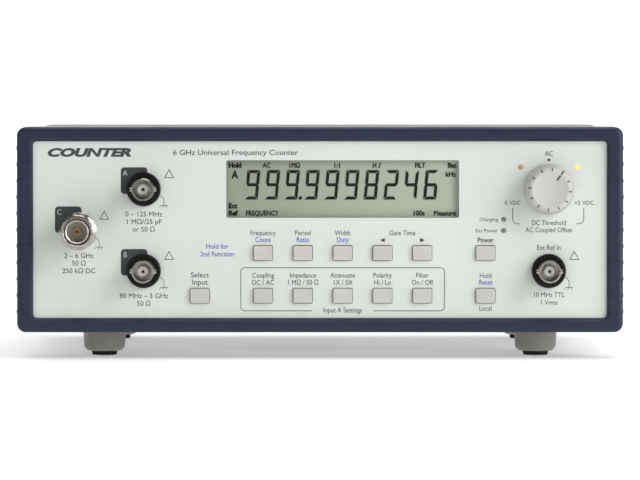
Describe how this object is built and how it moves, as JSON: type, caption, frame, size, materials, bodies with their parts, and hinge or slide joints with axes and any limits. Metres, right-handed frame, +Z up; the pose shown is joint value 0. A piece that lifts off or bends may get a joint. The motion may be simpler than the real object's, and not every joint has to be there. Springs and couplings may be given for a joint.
{
  "type": "frequency counter",
  "caption": "Half-rack bench frequency counter: moulded case with ribbed end frames, tilt feet, LCD readout, push keys, threshold knob and coaxial sockets.",
  "frame": {"origin": "on the bench, below the middle of the whole object's bounding box", "axes": "+X right as seen from the front, +Y from the front panel back into the case, +Z up"},
  "size_m": [0.26, 0.2354, 0.0994],
  "materials": {
    "case_plastic": "fine moulded grain",
    "frame_plastic": "fine moulded grain",
    "panel_print": "satin printed film",
    "panel_moulding": "moulded",
    "window": "clear acrylic",
    "key_plastic": "fine satin",
    "knob_plastic": "fine satin",
    "black_plastic": "moulded",
    "nickel": "bright nickel plate",
    "gold": "gold plate",
    "white_insulator": "waxy",
    "steel": "zinc plate",
    "tin": "tin plate",
    "rubber": "dull",
    "foot_plastic": "moulded",
    "circuit_board": "solder resist",
    "lcd_glass": "liquid-crystal glass",
    "lamp_orange": "tinted lens, unlit",
    "lamp_yellow": "tinted lens, lit",
    "lamp_clear": "diffused lens, unlit",
    "cell_wrap": "printed sleeve",
    "lead_jacket": "semi-gloss sheath"
  },
  "bodies": {
    "case": {"front_bezel": "frame_plastic", "rear_bezel": "case_plastic", "top_cover": "case_plastic", "bottom_cover": "case_plastic", "panel_overlay": "panel_print", "front_panel": "panel_moulding", "display_window": "window", "rear_panel": "panel_print", "tact_switches": "black_plastic", "potentiometer_body": "black_plastic", "potentiometer_nut": "steel", "status_leds": "lamp_clear", "threshold_led_left": "lamp_orange", "threshold_led_right": "lamp_yellow", "lcd_panel": "lcd_glass", "lcd_frame": "black_plastic", "bnc_a_shell": "nickel", "bnc_b_shell": "nickel", "bnc_reference_shell": "nickel", "bnc_collars": "black_plastic", "bnc_housings": "black_plastic", "bnc_insulators": "white_insulator", "bnc_contacts": "gold", "n_socket_shell": "nickel", "n_socket_insulator": "white_insulator", "n_socket_contact": "gold", "n_socket_nut": "steel", "input_c_lead": "lead_jacket", "main_board": "circuit_board", "display_board": "circuit_board", "board_connector": "black_plastic", "board_chips": "black_plastic", "shield_cans": "tin", "reference_oscillator": "tin", "battery_holder": "black_plastic", "battery_cells": "cell_wrap", "usb_socket": "tin", "power_jack": "black_plastic", "front_feet": "foot_plastic", "rear_feet": "foot_plastic", "foot_pads": "rubber", "tilt_leg_pins": "steel", "pan_head_screws": "steel"},
    "key_select_input": {"button_select_input": "key_plastic"},
    "key_frequency": {"button_frequency": "key_plastic"},
    "key_period": {"button_period": "key_plastic"},
    "key_width": {"button_width": "key_plastic"},
    "key_gate_time_down": {"button_gate_time_down": "key_plastic"},
    "key_gate_time_up": {"button_gate_time_up": "key_plastic"},
    "key_power": {"button_power": "key_plastic"},
    "key_coupling": {"button_coupling": "key_plastic"},
    "key_impedance": {"button_impedance": "key_plastic"},
    "key_attenuate": {"button_attenuate": "key_plastic"},
    "key_polarity": {"button_polarity": "key_plastic"},
    "key_filter": {"button_filter": "key_plastic"},
    "key_hold": {"button_hold": "key_plastic"},
    "threshold_control": {"threshold_knob": "knob_plastic", "potentiometer_shaft": "steel"},
    "left_leg": {"tilt_leg_left": "foot_plastic"},
    "right_leg": {"tilt_leg_right": "foot_plastic"}
  },
  "joints": [
    {"name": "press_select_input", "type": "slide", "parent": "case", "child": "key_select_input", "axis": [0, 1, 0], "range_m": [0, 0.0005], "stiffness_N_per_m": 250, "springref_m": -0.0008},
    {"name": "press_frequency", "type": "slide", "parent": "case", "child": "key_frequency", "axis": [0, 1, 0], "range_m": [0, 0.0005], "stiffness_N_per_m": 250, "springref_m": -0.0008},
    {"name": "press_period", "type": "slide", "parent": "case", "child": "key_period", "axis": [0, 1, 0], "range_m": [0, 0.0005], "stiffness_N_per_m": 250, "springref_m": -0.0008},
    {"name": "press_width", "type": "slide", "parent": "case", "child": "key_width", "axis": [0, 1, 0], "range_m": [0, 0.0005], "stiffness_N_per_m": 250, "springref_m": -0.0008},
    {"name": "press_gate_time_down", "type": "slide", "parent": "case", "child": "key_gate_time_down", "axis": [0, 1, 0], "range_m": [0, 0.0005], "stiffness_N_per_m": 250, "springref_m": -0.0008},
    {"name": "press_gate_time_up", "type": "slide", "parent": "case", "child": "key_gate_time_up", "axis": [0, 1, 0], "range_m": [0, 0.0005], "stiffness_N_per_m": 250, "springref_m": -0.0008},
    {"name": "press_power", "type": "slide", "parent": "case", "child": "key_power", "axis": [0, 1, 0], "range_m": [0, 0.0005], "stiffness_N_per_m": 250, "springref_m": -0.0008},
    {"name": "press_coupling", "type": "slide", "parent": "case", "child": "key_coupling", "axis": [0, 1, 0], "range_m": [0, 0.0005], "stiffness_N_per_m": 250, "springref_m": -0.0008},
    {"name": "press_impedance", "type": "slide", "parent": "case", "child": "key_impedance", "axis": [0, 1, 0], "range_m": [0, 0.0005], "stiffness_N_per_m": 250, "springref_m": -0.0008},
    {"name": "press_attenuate", "type": "slide", "parent": "case", "child": "key_attenuate", "axis": [0, 1, 0], "range_m": [0, 0.0005], "stiffness_N_per_m": 250, "springref_m": -0.0008},
    {"name": "press_polarity", "type": "slide", "parent": "case", "child": "key_polarity", "axis": [0, 1, 0], "range_m": [0, 0.0005], "stiffness_N_per_m": 250, "springref_m": -0.0008},
    {"name": "press_filter", "type": "slide", "parent": "case", "child": "key_filter", "axis": [0, 1, 0], "range_m": [0, 0.0005], "stiffness_N_per_m": 250, "springref_m": -0.0008},
    {"name": "press_hold", "type": "slide", "parent": "case", "child": "key_hold", "axis": [0, 1, 0], "range_m": [0, 0.0005], "stiffness_N_per_m": 250, "springref_m": -0.0008},
    {"name": "threshold_turn", "type": "hinge", "parent": "case", "child": "threshold_control", "pos_m": [0.098, -0.1002, 0.0725], "axis": [0, 1, 0], "range_deg": [-175.5, 104.5]},
    {"name": "left_leg_fold", "type": "hinge", "parent": "case", "child": "left_leg", "pos_m": [-0.0937, -0.0535, 0.0061], "axis": [-1, 0, 0], "range_deg": [0, 100]},
    {"name": "right_leg_fold", "type": "hinge", "parent": "case", "child": "right_leg", "pos_m": [0.0937, -0.0535, 0.0061], "axis": [-1, 0, 0], "range_deg": [0, 100]}
  ]
}
